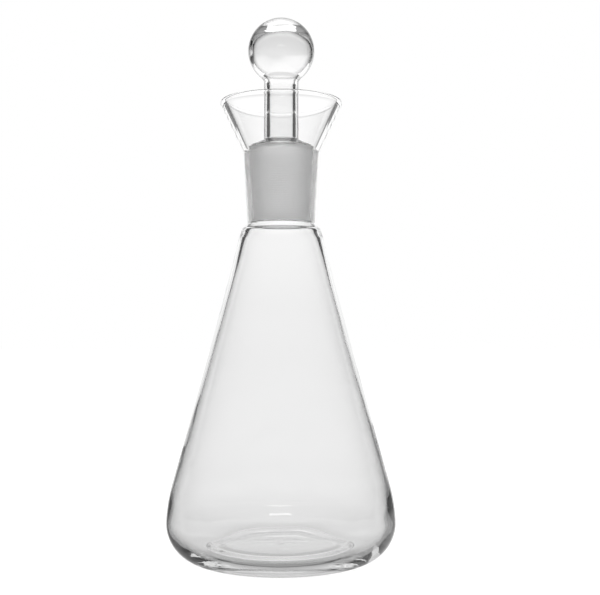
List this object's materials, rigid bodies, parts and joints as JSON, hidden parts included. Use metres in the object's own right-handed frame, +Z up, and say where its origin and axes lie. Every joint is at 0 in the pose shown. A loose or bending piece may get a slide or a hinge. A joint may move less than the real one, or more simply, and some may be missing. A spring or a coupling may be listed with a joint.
{
  "type": "stoppered conical flask",
  "caption": "Conical glass flask with a ground tapered neck, a flared funnel collar round it, and a hollow glass stopper with a ball knob that lifts out.",
  "frame": {"origin": "on the table plane, under the centre of the flask's base", "axes": "+Z up along the axis of the flask and its stopper; the shape is turned, so +X and +Y are any two square directions"},
  "size_m": [0.085, 0.085, 0.202],
  "materials": {
    "clear_glass": "fire polished",
    "ground_glass": "finely ground, frosted"
  },
  "bodies": {
    "flask": {"flask_body": "clear_glass", "neck_socket": "ground_glass", "funnel_collar": "clear_glass"},
    "stopper": {"stopper_plug": "ground_glass", "stopper_stem": "clear_glass", "stopper_knob": "clear_glass"}
  },
  "joints": [
    {"name": "stopper_lift", "type": "slide", "parent": "flask", "child": "stopper", "axis": [0, 0, 1], "range_m": [0, 0.06]}
  ]
}
